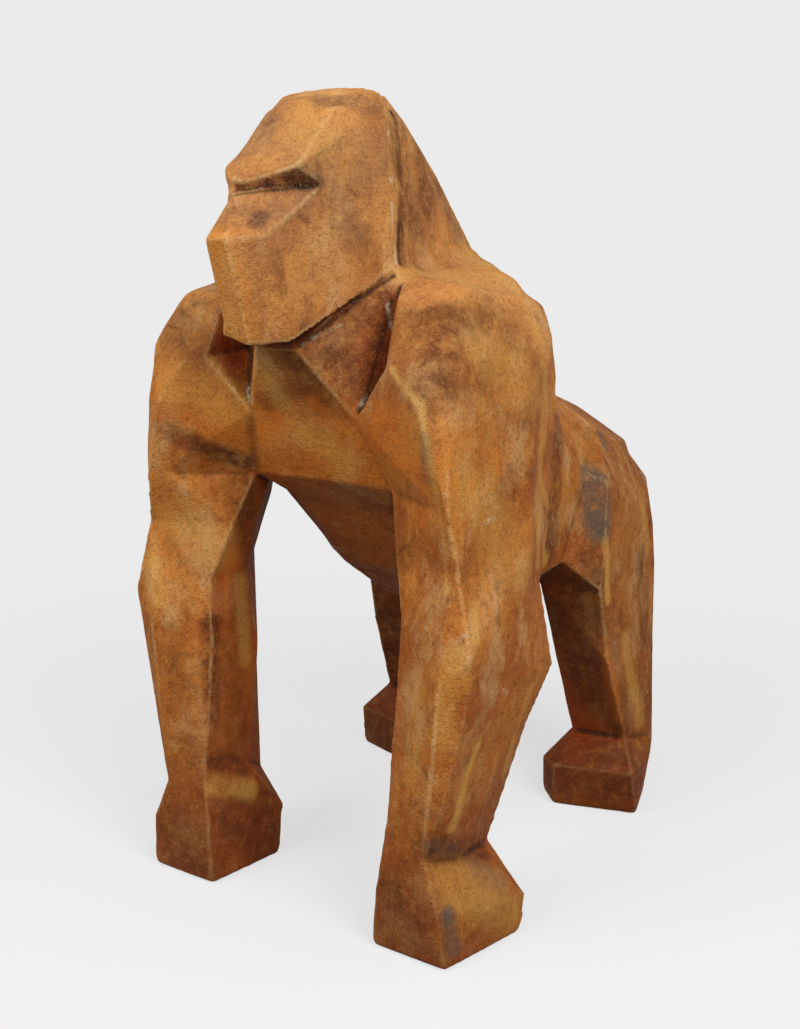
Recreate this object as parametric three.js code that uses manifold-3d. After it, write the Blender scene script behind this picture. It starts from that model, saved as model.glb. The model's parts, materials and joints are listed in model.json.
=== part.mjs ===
// A free-standing gorilla garden sculpture with flat facets, cast in hollow sections of fibre-reinforced
// stone mix. The sections are bonded edge to edge over mortar bands, on a welded steel armature that
// stands in grout inside the fists and feet. Millimetres, +Z up, the gorilla faces -Y and its left is +X.
import * as THREE from "three";
import { mergeVertices } from "three/addons/utils/BufferGeometryUtils.js";
import Module from "manifold-3d";

// Walls and joints
const WALL = 8; // thickness of a cast wall
const SOLE = 10; // thickness of the casting under a fist or a foot
const BOND_GAP = 0.3; // glue line between two castings, and clearance round the steel
const BAND_THICKNESS = 5; // mortar laid over a joint on the inside
const BAND_REACH = 14; // how far a band covers each side of its joint
const GROUT_DEPTH = 28; // grout above the sole of a fist or a foot

// Steel armature
const ROD_DIAMETER = 12; // bars up the limbs, the spine and the neck
const ROD_SIDES = 16; // flats that stand for a rod's round
const ROD_END_COVER = 8; // grout between a rod's foot and the casting's sole
const BAR_SIDE = 16; // square bars across the shoulders and the hips
const BAR_OVERHANG = 8; // a cross bar's length past the limb rods
const BAR_PASSAGE = 3; // room round the shoulder bar where it goes through the inner walls
const SHOULDER_BAR = { y: 84, z: 452 };
const HIP_BAR = { y: 385, z: 296 };
const ARM_ROD = { foot_x: 112, foot_y: 44, head_x: 112 };
const LEG_ROD = { foot_x: 106, foot_y: 380, head_x: 92 };
const NECK_ROD_HEAD = { y: 100, z: 608 };
const HEAD_PAD = { width: 40, front: 83, back: 118, bottom: 592, top: 640 };

// Places of the joints
const SHOULDER_Z = 345;
const WRIST_Z = 108;
const HIP_Z = 222;
const ANKLE_Z = 72;
const NECK_Z = 507.5; // front of the neck joint
const NECK_SLOPE = 0.094; // its rise towards the back
const FACE_BACK_Y = 67; // joint between the face and the hood
const NAPE_Y = 200; // back end of the neck joint
const WAIST_Y = 230; // joint between the chest and the rump
const neckHeight = (y) => NECK_Z + NECK_SLOPE * (y - FACE_BACK_Y);
const neckSeat = (y) => neckHeight(y) - BOND_GAP;

// Corners of the left arm's sections from the ground up, each going round in this order:
// outer front, outer side, outer back, back, inner back, inner front.
const ARM = [
  // sole of the fist
  [[148, 0, 0], [158, 42, 0], [167, 83, 0], [71, 76, 0], [76, 38, 0], [82, 0, 0]],
  // knuckles
  [[143, -3, 48], [160, 42, 36], [164, 93, 26], [70, 80, 46], [75, 42, 52], [85, 1, 45]],
  // wrist
  [[129, 0, 83], [138, 36, 74], [127, 97, 62], [100, 86, 72], [85, 52, 92], [92, 6, 103]],
  // forearm
  [[136, 0, 158], [147, 7, 147], [148, 90, 152], [141, 131, 150], [85, 63, 150], [91, 14, 155]],
  // elbow
  [[140, 0, 215], [158, 9, 200], [160, 91, 205], [156, 145, 200], [85, 69, 196], [92, 20, 205]],
  // hollow above the elbow
  [[141, 3, 255], [163, 7, 244], [162, 89, 268], [147, 138, 268], [88, 61, 256], [94, 22, 258]],
  // upper arm
  [[138, 14, 303], [149, 12, 303], [160, 98, 308], [142, 158, 303], [80, 63, 297], [80, 36, 303]],
  // armpit
  [[132, 11, 345], [144, 6, 345], [158, 97, 345], [139, 166, 345], [70, 76, 345], [67, 50, 345]],
  // breast
  [[124, 2, 405], [142, 9, 403], [155, 97, 412], [140, 172, 405], [62, 72, 400], [50, 28, 399]],
  // muscle of the shoulder
  [[104, 8, 434], [133, 11, 447], [144, 112, 452], [138, 172, 450], [70, 74, 448], [85, 16, 440]],
  // top of the shoulder
  [[118, 32, 484], [120, 70, 496], [114, 130, 498], [119, 184, 477], [62, 78, 503], [80, 37, 489]],
];

// Corners of the left leg's sections from the ground up, each going round in this order:
// inner front, outer front, outer back, back, inner back, inner side.
const LEG = [
  // sole of the foot
  [[81, 299, 0], [157, 322, 0], [144, 366, 0], [122, 422, 0], [80, 428, 0], [58, 324, 0]],
  // top edge of the foot
  [[80, 301, 39], [155, 315, 43], [150, 368, 48], [128, 424, 36], [80, 426, 36], [58, 322, 36]],
  // ankle
  [[75, 350, 58], [136, 338, 67], [145, 381, 59], [128, 422, 56], [84, 420, 56], [68, 376, 56]],
  // shin
  [[72, 313, 150], [131, 304, 152], [134, 400, 150], [112, 440, 150], [70, 432, 150], [58, 370, 150]],
  // under the hip
  [[70, 284, 222], [129, 288, 222], [128, 411, 222], [104, 456, 222], [60, 450, 222], [52, 350, 222]],
  // knee
  [[104, 258, 253], [130, 290, 244], [124, 412, 260], [98, 464, 262], [55, 462, 262], [50, 340, 250]],
  // thigh
  [[105, 284, 330], [125, 304, 318], [118, 412, 290], [92, 466, 295], [52, 466, 300], [50, 340, 320]],
  // top of the hip
  [[92, 318, 352], [100, 334, 354], [90, 405, 338], [78, 432, 334], [50, 432, 334], [50, 330, 352]],
];

// Corners of the trunk's sections from the breast to the rump, left half from the belly up:
// belly, lower side, flank, upper side, back.
const TRUNK_HALF = [
  // front of the breast
  [[38, 50, 346], [67, 50, 346], [59, 39, 371], [51, 28, 399], [30, 28, 399]],
  // under the neck
  [[42, 86, 318], [75, 86, 335], [85, 85, 400], [76, 78, 494], [56, 75, neckSeat(75)]],
  // behind the shoulders
  [[45, 140, 256], [98, 148, 300], [130, 160, 385], [110, 158, 497], [57, 150, neckSeat(150)]],
  // nape
  [[38, 213], [104, 247], [113, 330], [100, 430], [47, neckSeat(NAPE_Y)]].map(([x, z]) => [x, NAPE_Y, z]),
  // loins
  [[35, 265, 200], [104, 262, 251], [110, 270, 326], [90, 275, 388], [39, 270, 438]],
  // hips
  [[35, 340, 205], [95, 345, 240], [112, 345, 300], [97, 347, 355], [37, 355, 388]],
  // top of the rump
  [[30, 430, 215], [90, 430, 240], [105, 425, 290], [80, 431, 336], [30, 430, 367]],
  // back of the rump
  [[25, 480, 235], [55, 483, 255], [65, 486.9, 295], [58, 486.9, 327], [28, 483, 345]],
];

// Throat, from the breast up to the jaw: front, side and back corners of the left half.
const THROAT_HALF = [
  [[44, 40, 385], [66, 60, 385], [60, 95, 385]],
  [[51, 28, 399], [70, 49, 399], [60, 95, 399]],
  [[19, -1, 450], [75, 62, 450], [60, 95, 450]],
  [[40, 36, 489], [74, 67, 489], [60, 95, 489]],
  [[54, 58, 506], [64, 74, 505], [56, 95, 506]],
];

// Hood from the neck to the crown: front, ridge and back corners of the left half.
const HOOD_FRONT_Y = FACE_BACK_Y + BOND_GAP;
const HOOD_HALF = [
  [[56, HOOD_FRONT_Y], [55, 160], [45, NAPE_Y]].map(([x, y]) => [x, y, neckHeight(y)]),
  [[52, HOOD_FRONT_Y, 572], [46, 129, 572], [33, 168, 572]],
  [[46, HOOD_FRONT_Y, 613], [41, 106, 613], [22, 129, 619]],
  [[36, HOOD_FRONT_Y, 630], [32, 90, 632], [14, 117, 636]],
];

// Cheeks and muzzle from the jaw up: front, lip corner, cheek, eye corner, rim and back of the left half.
const CHEEK_HALF = [
  [
    [9.5, -40.5, 456], [17, -31, 456], [28.8, -16.6, 458],
    [42.4, 22.7, 480], [55.5, 58, 502], [59, FACE_BACK_Y, 507],
  ],
  [
    [9, -61.9, 528], [23.4, -38.2, 531], [32.2, -10.8, 551],
    [38.4, 7.4, 565], [54, 54, 566], [58, FACE_BACK_Y, 566],
  ],
  [[0.5, -42, 559], [12.5, -26, 561], [25, -9.5, 563], [37.5, 8, 566], [53, 54, 569], [58, FACE_BACK_Y, 569]],
];

// Forehead from inside the eye slit up to the crown: middle, brow, brow end, rim and back of the left half.
const FOREHEAD_HALF = [
  [[6, -18, 550], [19, -3, 550], [31, 12, 550], [51, 54, 550], [55, FACE_BACK_Y, 550]],
  [[4, -30, 567], [32, -12, 578], [38.5, 7, 566.5], [53.4, 54, 568], [58.4, FACE_BACK_Y, 568]],
  [[5, 0, 596], [31, 9, 597], [39.5, 24, 597], [50.5, 54, 595], [54.5, FACE_BACK_Y, 594]],
  [[6, 25, 625], [29, 28, 618], [37, 42, 621], [46, 56, 623], [50, FACE_BACK_Y, 624]],
  [[4, 66, 637], [20, 64, 637], [31, 63, 636], [41, 63, 634], [46.5, FACE_BACK_Y, 631]],
];

// Hollow of the head, left half from below: its opening between the face and the hood, and its front end.
const HEAD_OPENING_HALF = [[43, 530], [41, 572], [33, 609], [21, 615]];
const HEAD_HOLLOW_FRONT_Y = 22;
const HEAD_HOLLOW_FRONT_HALF = [[16, 500], [22, 540], [22, 585], [12, 602]];

const wasm = await Module();
wasm.setup();

const X = 0;
const Y = 1;
const Z = 2;

// Sections
const mean = (section, axis) => section.reduce((sum, p) => sum + p[axis], 0) / section.length;
const moved = (section, distance, axis = Z) =>
  section.map((p) => p.map((value, k) => (k === axis ? value + distance : value)));
const mirrored = (section) => section.map(([x, y, z]) => [-x, y, z]);

// A whole section from its left half.
const whole = (half) => [...half, ...mirrored(half).reverse()];

// A section moved in from its edges by a distance, in the plane of the axes u and v.
function inset(section, distance, u = X, v = Y) {
  const count = section.length;
  const turn = section.reduce((sum, p, i) => {
    const q = section[(i + 1) % count];
    return sum + p[u] * q[v] - q[u] * p[v];
  }, 0);
  const side = Math.sign(turn);
  const edges = section.map((p, i) => {
    const q = section[(i + 1) % count];
    const length = Math.hypot(q[u] - p[u], q[v] - p[v]);
    const normal = [(-side * (q[v] - p[v])) / length, (side * (q[u] - p[u])) / length];
    return { normal, reach: p[u] * normal[0] + p[v] * normal[1] + distance };
  });
  return section.map((p, i) => {
    const a = edges[(i + count - 1) % count];
    const b = edges[i];
    const cross = a.normal[0] * b.normal[1] - a.normal[1] * b.normal[0];
    const corner = [...p];
    if (Math.abs(cross) < 1e-6) {
      corner[u] += distance * b.normal[0];
      corner[v] += distance * b.normal[1];
    } else {
      corner[u] = (a.reach * b.normal[1] - b.reach * a.normal[1]) / cross;
      corner[v] = (b.reach * a.normal[0] - a.reach * b.normal[0]) / cross;
    }
    return corner;
  });
}

// A section whose corners are drawn a distance towards its middle, in the plane of the axes u and v.
function drawnIn(section, distance, u = X, v = Y) {
  const middle = { [u]: mean(section, u), [v]: mean(section, v) };
  return section.map((p) => {
    const share = distance / Math.hypot(middle[u] - p[u], middle[v] - p[v]);
    return p.map((value, k) => (k in middle ? value + (middle[k] - value) * share : value));
  });
}

// Solids
const joined = (solids) => solids.reduce((sum, solid) => sum.add(solid));
const without = (solid, cuts) => cuts.reduce((rest, cut) => rest.subtract(cut), solid);

// A closed solid through sections that all have the same even number of corners.
function loft(sections) {
  const count = sections[0].length;
  const corners = sections.flat();
  const forward = windsForward(sections);
  const index = [];
  const facet = (a, b, c, d) => {
    if (foldsOut(corners[a], corners[b], corners[c], corners[d]) === forward) index.push(a, b, c, a, c, d);
    else index.push(a, b, d, b, c, d);
  };
  sections.slice(1).forEach((_, i) => {
    for (let j = 0; j < count; j++) {
      const k = (j + 1) % count;
      facet(i * count + j, i * count + k, (i + 1) * count + k, (i + 1) * count + j);
    }
  });
  const last = (sections.length - 1) * count;
  for (let j = 0; j < count / 2 - 1; j++) {
    const across = count - 1 - j;
    index.push(j, across, across - 1, j, across - 1, j + 1);
    index.push(last + j, last + j + 1, last + across - 1, last + j, last + across - 1, last + across);
  }
  return solidFrom(sections.flat(2), index);
}

// Whether the fold from a to c in the four-sided facet a, b, c, d is a ridge as seen from its front.
function foldsOut(a, b, c, d) {
  const from = (p) => new THREE.Vector3(p[X] - a[X], p[Y] - a[Y], p[Z] - a[Z]);
  return from(b).cross(from(c)).dot(from(d)) < 0;
}

// Whether the corners go anticlockwise when seen from the last section.
function windsForward(sections) {
  const middle = (section) => new THREE.Vector3(mean(section, X), mean(section, Y), mean(section, Z));
  const first = sections[0];
  const centre = middle(first);
  const along = middle(sections[sections.length - 1]).sub(centre);
  const normal = first.reduce((sum, p, i) => {
    const q = first[(i + 1) % first.length];
    return sum.add(new THREE.Vector3(...p).sub(centre).cross(new THREE.Vector3(...q).sub(centre)));
  }, new THREE.Vector3());
  return normal.dot(along) > 0;
}

// A manifold solid from corner positions and triangles, turned right side out.
function solidFrom(positions, index) {
  const geometry = new THREE.BufferGeometry();
  geometry.setAttribute("position", new THREE.Float32BufferAttribute(positions, 3));
  geometry.setIndex(index);
  return solidOf(geometry);
}

function solidOf(geometry) {
  const bare = geometry.clone();
  bare.deleteAttribute("normal");
  bare.deleteAttribute("uv");
  const merged = mergeVertices(bare);
  const triVerts = new Uint32Array(merged.index.array);
  const vertProperties = new Float32Array(merged.attributes.position.array);
  if (signedVolume(vertProperties, triVerts) < 0) triVerts.reverse();
  return new wasm.Manifold(new wasm.Mesh({ numProp: 3, vertProperties, triVerts }));
}

function signedVolume(positions, index) {
  const corner = (i) => new THREE.Vector3().fromArray(positions, 3 * index[i]);
  let volume = 0;
  for (let i = 0; i < index.length; i += 3) {
    volume += corner(i).dot(corner(i + 1).cross(corner(i + 2)));
  }
  return volume;
}

function rod(from, to, diameter) {
  const a = new THREE.Vector3(...from);
  const b = new THREE.Vector3(...to);
  const along = b.clone().sub(a);
  const geometry = new THREE.CylinderGeometry(diameter / 2, diameter / 2, along.length(), ROD_SIDES);
  const turn = new THREE.Quaternion().setFromUnitVectors(new THREE.Vector3(0, 1, 0), along.normalize());
  const middle = a.add(b).multiplyScalar(0.5);
  geometry.applyQuaternion(turn);
  geometry.translate(middle.x, middle.y, middle.z);
  return solidOf(geometry);
}

function block(low, high) {
  const size = low.map((value, k) => high[k] - value);
  const geometry = new THREE.BoxGeometry(...size);
  geometry.translate(...low.map((value, k) => value + size[k] / 2));
  return solidOf(geometry);
}

// A square bar across the figure, with room added all round it.
function crossBar({ y, z }, halfLength, room) {
  const half = BAR_SIDE / 2 + room;
  return block([-halfLength - room, y - half, z - half], [halfLength + room, y + half, z + half]);
}

// Nodes of the figure
const COAT = { color: 0xa56428, roughness: 0.9, metalness: 0.1 };
const MORTAR = { color: 0xb7b0a4, roughness: 1, metalness: 0 };
const STEEL = { color: 0x6d7073, roughness: 0.6, metalness: 0.9 };
const figure = new THREE.Group();

function addNode(name, solid, finish) {
  const mesh = solid.getMesh();
  const geometry = new THREE.BufferGeometry();
  geometry.setAttribute("position", new THREE.BufferAttribute(new Float32Array(mesh.vertProperties), 3));
  geometry.setIndex(new THREE.BufferAttribute(new Uint32Array(mesh.triVerts), 1));
  const node = new THREE.Mesh(geometry, new THREE.MeshStandardMaterial(finish));
  node.name = name;
  figure.add(node);
}

const SIDES = { left: (section) => section, right: mirrored };
const SIDE_SIGN = { left: 1, right: -1 };
const limbsOf = (limb) => Object.values(SIDES).map((side) => limb.map(side));

// The inside of a limb at a distance from its outside, with the top of the hand or foot and the closed
// upper end lowered by as much.
function limbCore(limb, distance) {
  const core = limb.map((section) => inset(section, distance));
  core[1] = moved(core[1], -distance);
  core[core.length - 1] = moved(core[core.length - 1], -distance);
  return core;
}

// All the space between two values along an axis.
const SPACE = 1000;
function slab(axis, low, high) {
  const from = [-SPACE, -SPACE, -SPACE];
  const to = [SPACE, SPACE, SPACE];
  from[axis] = low;
  to[axis] = high;
  return block(from, to);
}

// A mortar band over the joint at one place along an axis, on the inside of the walls.
function band(core, place, u = X, v = Y, axis = Z) {
  const inside = loft(core.map((section) => drawnIn(section, BAND_THICKNESS, u, v)));
  return loft(core).intersect(slab(axis, place - BAND_REACH, place + BAND_REACH)).subtract(inside);
}

const limbHollow = (limb) => loft(limbCore(limb, WALL)).subtract(slab(Z, -SPACE, SOLE));

// A limb's casting between two heights, with half the glue line left free at a joint.
const limbCasting = (limb, low, high) =>
  loft(limb).subtract(limbHollow(limb)).intersect(slab(Z, low + BOND_GAP / 2, high - BOND_GAP / 2));

// The part of a limb above a joint, which is cast with the trunk, and the room for the casting below it.
const limbRoot = (limb, joint) => loft(limb).intersect(slab(Z, joint + BOND_GAP / 2, SPACE));
const limbRoom = (limb, joint) =>
  loft(limb.map((section) => inset(section, -BOND_GAP))).intersect(slab(Z, -SPACE, joint + BOND_GAP / 2));

// Face: open at the back, where the head's hollow goes on into the hood.
const opening = (y, distance) => {
  const section = HEAD_OPENING_HALF.map(([x, z]) => [x, y, z]);
  return inset(whole(section), distance, X, Z);
};
const hollowFront = whole(HEAD_HOLLOW_FRONT_HALF.map(([x, z]) => [x, HEAD_HOLLOW_FRONT_Y, z]));
const faceHollow = loft([
  hollowFront,
  opening(FACE_BACK_Y - BAND_REACH, 0),
  opening(FACE_BACK_Y + BAND_REACH, 0),
]);
const FACE = [CHEEK_HALF, FOREHEAD_HALF].map((rows) => rows.map(whole));
const faceMoved = (distance, axis) =>
  joined(FACE.map((sections) => loft(sections.map((section) => moved(section, distance, axis)))));
const faceOutside = joined(FACE.map(loft));
addNode("face", faceOutside.subtract(faceHollow), COAT);

// Arch of mortar behind the seam between the face and the hood, open towards the neck.
const archInside = (y) => {
  const section = opening(y, BOND_GAP + BAND_THICKNESS);
  return section.map(([x, , z], i) => [x, y, i === 0 || i === section.length - 1 ? z - 2 * BAND_REACH : z]);
};
const faceBand = loft([
  opening(FACE_BACK_Y - BAND_REACH + BOND_GAP, BOND_GAP),
  opening(FACE_BACK_Y + BAND_REACH, BOND_GAP),
]);
const faceBandInside = loft([-1, 1].map((way) => archInside(FACE_BACK_Y + way * 2 * BAND_REACH)));
addNode("face_band", faceBand.subtract(faceBandInside), MORTAR);

// Hood: open to the face in front and to the neck below.
const HOOD = HOOD_HALF.map(whole);
const openedFront = (section) =>
  section.map(([x, y, z], i) => [x, i === 0 || i === section.length - 1 ? y - 2 * BAND_REACH : y, z]);
const hoodCore = (distance) => {
  const core = HOOD.map((section) => inset(section, distance));
  core[core.length - 1] = moved(core[core.length - 1], -distance);
  return core;
};
const hoodHollow = (() => {
  const inner = hoodCore(WALL);
  inner.unshift(moved(inner[0], -BAND_REACH));
  const front = inner.map((section) => [section[0], section[section.length - 1]]);
  const mouth = front.map((edge) => [...moved(edge, BOND_GAP, Y), ...moved(edge, -2 * WALL, Y).reverse()]);
  return joined([loft(inner), loft(mouth)]);
})();
addNode("hood", loft(HOOD).subtract(hoodHollow), COAT);

// Mortar round the inside of the neck, open in front.
const neckRun = (() => {
  const [seat, above] = hoodCore(WALL + BOND_GAP);
  return [moved(seat, -BAND_REACH), seat, above];
})();
const neckReach = (() => {
  const wide = inset(HOOD[0], -BAND_REACH);
  return loft([moved(wide, -BAND_REACH), moved(wide, BAND_REACH)]);
})();
const neckInside = neckRun.map((section) => openedFront(drawnIn(section, BAND_THICKNESS)));
neckInside[0] = moved(neckInside[0], -BAND_REACH);
addNode("neck_band", loft(neckRun).intersect(neckReach).subtract(loft(neckInside)), MORTAR);

// Chest: the front of the trunk with the throat, both shoulders and the seat of the neck.
const TRUNK = TRUNK_HALF.map(whole);
const trunkCore = (distance) => {
  const core = TRUNK.map((section) => inset(section, distance, X, Z));
  core[0] = moved(core[0], distance, Y);
  core[core.length - 1] = moved(core[core.length - 1], -distance, Y);
  return core;
};
const trunkHollow = loft(trunkCore(WALL));
const arms = limbsOf(ARM);
const shoulderBarHalf = ARM_ROD.head_x + BAR_OVERHANG;
const neckOpening = hoodCore(WALL)[0];
const chestOutside = joined([
  loft(TRUNK).intersect(slab(Y, -SPACE, WAIST_Y - BOND_GAP / 2)),
  loft(THROAT_HALF.map(whole)),
  ...arms.map((limb) => limbRoot(limb, SHOULDER_Z)),
]);
addNode(
  "chest",
  without(chestOutside, [
    faceOutside,
    faceMoved(-BOND_GAP, Z),
    faceMoved(BOND_GAP, Y),
    faceMoved(-BOND_GAP, X),
    faceMoved(BOND_GAP, X),
    trunkHollow,
    loft([moved(neckOpening, -BAND_REACH), moved(neckOpening, BAND_REACH)]),
    crossBar(SHOULDER_BAR, shoulderBarHalf, BAR_PASSAGE),
    ...arms.flatMap((limb) => [limbHollow(limb), limbRoom(limb, SHOULDER_Z)]),
  ]),
  COAT,
);

// Rump: the back of the trunk with both hips.
const legs = limbsOf(LEG);
const rumpOutside = joined([
  loft(TRUNK).intersect(slab(Y, WAIST_Y + BOND_GAP / 2, SPACE)),
  ...legs.map((limb) => limbRoot(limb, HIP_Z)),
]);
addNode(
  "rump",
  without(rumpOutside, [
    trunkHollow,
    ...legs.flatMap((limb) => [limbHollow(limb), limbRoom(limb, HIP_Z)]),
  ]),
  COAT,
);
addNode("waist_band", band(trunkCore(WALL + BOND_GAP), WAIST_Y, X, Z, Y), MORTAR);

// Armature across and along the trunk
const hipBarHalf = LEG_ROD.head_x + BAR_OVERHANG;
const shoulderBarRoom = crossBar(SHOULDER_BAR, shoulderBarHalf, BOND_GAP);
const hipBarRoom = crossBar(HIP_BAR, hipBarHalf, BOND_GAP);
const shoulderMiddle = [0, SHOULDER_BAR.y, SHOULDER_BAR.z];
const hipMiddle = [0, HIP_BAR.y, HIP_BAR.z];
const neckTop = [0, NECK_ROD_HEAD.y, NECK_ROD_HEAD.z];
addNode("shoulder_bar", crossBar(SHOULDER_BAR, shoulderBarHalf, 0), STEEL);
addNode("hip_bar", crossBar(HIP_BAR, hipBarHalf, 0), STEEL);
addNode(
  "spine_rod",
  without(rod(shoulderMiddle, hipMiddle, ROD_DIAMETER), [shoulderBarRoom, hipBarRoom]),
  STEEL,
);
addNode("neck_rod", rod(shoulderMiddle, neckTop, ROD_DIAMETER).subtract(shoulderBarRoom), STEEL);

// Mortar that holds the neck rod's head in the crown of the hood
const padSpace = block(
  [-HEAD_PAD.width / 2, HEAD_PAD.front, HEAD_PAD.bottom],
  [HEAD_PAD.width / 2, HEAD_PAD.back, HEAD_PAD.top],
);
const neckRoomTop = [0, NECK_ROD_HEAD.y, NECK_ROD_HEAD.z + BOND_GAP];
const neckRodRoom = rod(shoulderMiddle, neckRoomTop, ROD_DIAMETER + 2 * BOND_GAP);
addNode("head_pad", padSpace.intersect(loft(hoodCore(WALL + BOND_GAP))).subtract(neckRodRoom), MORTAR);

// Limbs on each side
const rodFootZ = SOLE + ROD_END_COVER;
function addLimb(names, limb, { lower, upper }, { foot, head, barRoom }) {
  const core = limbCore(limb, WALL + BOND_GAP);
  const roomFoot = [foot[X], foot[Y], foot[Z] - BOND_GAP];
  const rodRoom = rod(roomFoot, head, ROD_DIAMETER + 2 * BOND_GAP);
  const grout = loft(core).intersect(slab(Z, SOLE + BOND_GAP, SOLE + GROUT_DEPTH));
  addNode(names.upper, limbCasting(limb, lower, upper), COAT);
  addNode(names.lower, limbCasting(limb, -BOND_GAP, lower), COAT);
  addNode(names.upperBand, band(core, upper), MORTAR);
  addNode(names.lowerBand, band(core, lower), MORTAR);
  addNode(names.rod, rod(foot, head, ROD_DIAMETER).subtract(barRoom), STEEL);
  addNode(names.grout, grout.subtract(rodRoom), MORTAR);
}
for (const [side, turned] of Object.entries(SIDES)) {
  const sign = SIDE_SIGN[side];
  addLimb(
    {
      upper: `${side}_arm`,
      lower: `${side}_fist`,
      upperBand: `${side}_shoulder_band`,
      lowerBand: `${side}_wrist_band`,
      rod: `${side}_arm_rod`,
      grout: `${side}_fist_grout`,
    },
    ARM.map(turned),
    { lower: WRIST_Z, upper: SHOULDER_Z },
    {
      foot: [sign * ARM_ROD.foot_x, ARM_ROD.foot_y, rodFootZ],
      head: [sign * ARM_ROD.head_x, SHOULDER_BAR.y, SHOULDER_BAR.z],
      barRoom: shoulderBarRoom,
    },
  );
  addLimb(
    {
      upper: `${side}_leg`,
      lower: `${side}_foot`,
      upperBand: `${side}_hip_band`,
      lowerBand: `${side}_ankle_band`,
      rod: `${side}_leg_rod`,
      grout: `${side}_foot_grout`,
    },
    LEG.map(turned),
    { lower: ANKLE_Z, upper: HIP_Z },
    {
      foot: [sign * LEG_ROD.foot_x, LEG_ROD.foot_y, rodFootZ],
      head: [sign * LEG_ROD.head_x, HIP_BAR.y, HIP_BAR.z],
      barRoom: hipBarRoom,
    },
  );
}

// The origin is under the middle of the figure, on the ground.
const middle = new THREE.Box3().setFromObject(figure).getCenter(new THREE.Vector3());
figure.children.forEach((node) => node.geometry.translate(-middle.x, -middle.y, 0));

export default figure;
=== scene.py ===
# %% [markdown]
# A gorilla garden sculpture with flat facets, cast in a stone mix and coated to look like rusted iron.
# It stands on its knuckles and feet. The solid model already has every facet in its place, so this
# lesson gives the castings what a solid model lacks: worn edges, an uneven cast skin, and a rust coat
# with its stains, rubbed ridges and grain. The first cell loads the solid model as a fixed frame.

import json
import math

import bmesh
import bpy
import numpy as np
from mathutils import Matrix, Vector
from mathutils.bvhtree import BVHTree
from mathutils.kdtree import KDTree


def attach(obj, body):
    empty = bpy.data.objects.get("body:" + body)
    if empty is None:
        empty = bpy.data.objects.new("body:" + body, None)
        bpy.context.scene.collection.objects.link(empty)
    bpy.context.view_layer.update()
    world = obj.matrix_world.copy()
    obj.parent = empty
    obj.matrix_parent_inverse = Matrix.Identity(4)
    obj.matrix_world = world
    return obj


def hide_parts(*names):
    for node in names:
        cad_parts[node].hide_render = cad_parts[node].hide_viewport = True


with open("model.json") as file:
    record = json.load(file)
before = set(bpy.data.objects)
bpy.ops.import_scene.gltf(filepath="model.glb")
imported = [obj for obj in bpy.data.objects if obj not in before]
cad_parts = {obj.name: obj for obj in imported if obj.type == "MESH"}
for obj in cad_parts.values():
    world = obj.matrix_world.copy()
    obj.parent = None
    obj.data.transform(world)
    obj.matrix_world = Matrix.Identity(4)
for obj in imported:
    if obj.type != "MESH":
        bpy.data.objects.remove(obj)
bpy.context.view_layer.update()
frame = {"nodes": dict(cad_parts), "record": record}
scene = bpy.context.scene

# %% [markdown]
# The camera comes first, because the stains below are placed where they are seen in the photograph.
# Its place was worked out from the four soles, which stand on one floor, and from the two equal sides
# of the figure. It stands a little over a metre away, at the height of the face, and looks slightly down.

# %% Camera
PHOTO_WIDTH, PHOTO_HEIGHT = 800, 1029
FOCAL_PIXELS = 1250
SENSOR = 36
CAMERA_PLACE = Vector((0.5882, -0.9154, 0.5247))
CAMERA_TURN = math.radians(34.31)
CAMERA_TILT = math.radians(12.19)

camera_data = bpy.data.cameras.new("camera")
camera_data.sensor_width = SENSOR
camera_data.lens = FOCAL_PIXELS / PHOTO_HEIGHT * SENSOR
camera = bpy.data.objects.new("camera", camera_data)
camera.location = CAMERA_PLACE
camera.rotation_euler = (math.pi / 2 - CAMERA_TILT, 0, CAMERA_TURN)
scene.collection.objects.link(camera)
scene.camera = camera
print("lens", round(camera_data.lens, 2), "mm")


def sight(across, down):
    """The direction from the camera through a place in the photograph."""
    local = Vector((across - PHOTO_WIDTH / 2, PHOTO_HEIGHT / 2 - down, -FOCAL_PIXELS))
    return (camera.rotation_euler.to_matrix() @ local).normalized()


# %% [markdown]
# The photograph shows a joint only round the face. The others must be filled and coated over, so that the
# figure reads as one body. A voxel remesh of all the castings together closes the thin glue lines and
# gives an even skin of small faces. One light round of smoothing then wears the edges, as a mould and a
# coat do. Bevels would need clean edge loops, which joined castings don't have.

# %% One skin over all the castings
SIDES = ("left", "right")
LIMB_PIECES = ("arm", "fist", "leg", "foot")
CASTINGS = ["face", "hood", "chest", "rump"] + [f"{side}_{piece}" for side in SIDES for piece in LIMB_PIECES]
SAME_PLACE = 1e-6
SKIN_STEP = 0.0019
WEAR_ROUNDS = 1
WEAR_SHARE = 0.6


def linked(name, mesh):
    """A new object for a mesh, in the scene."""
    made = bpy.data.objects.new(name, mesh)
    scene.collection.objects.link(made)
    return made


def settled(holder):
    """Turns what an object's modifiers make into its own plain mesh."""
    seen = holder.evaluated_get(bpy.context.evaluated_depsgraph_get())
    plain = bpy.data.meshes.new_from_object(seen)
    old = holder.data
    holder.modifiers.clear()
    holder.data = plain
    bpy.data.meshes.remove(old)
    return holder


shells = bmesh.new()
for casting in CASTINGS:
    shells.from_mesh(frame["nodes"][casting].data)
bmesh.ops.remove_doubles(shells, verts=shells.verts, dist=SAME_PLACE)
skin = linked("skin", bpy.data.meshes.new("skin"))
shells.to_mesh(skin.data)
shells.free()
remesh = skin.modifiers.new("even skin", "REMESH")
remesh.mode = "VOXEL"
remesh.voxel_size = SKIN_STEP
settled(skin)


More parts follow.
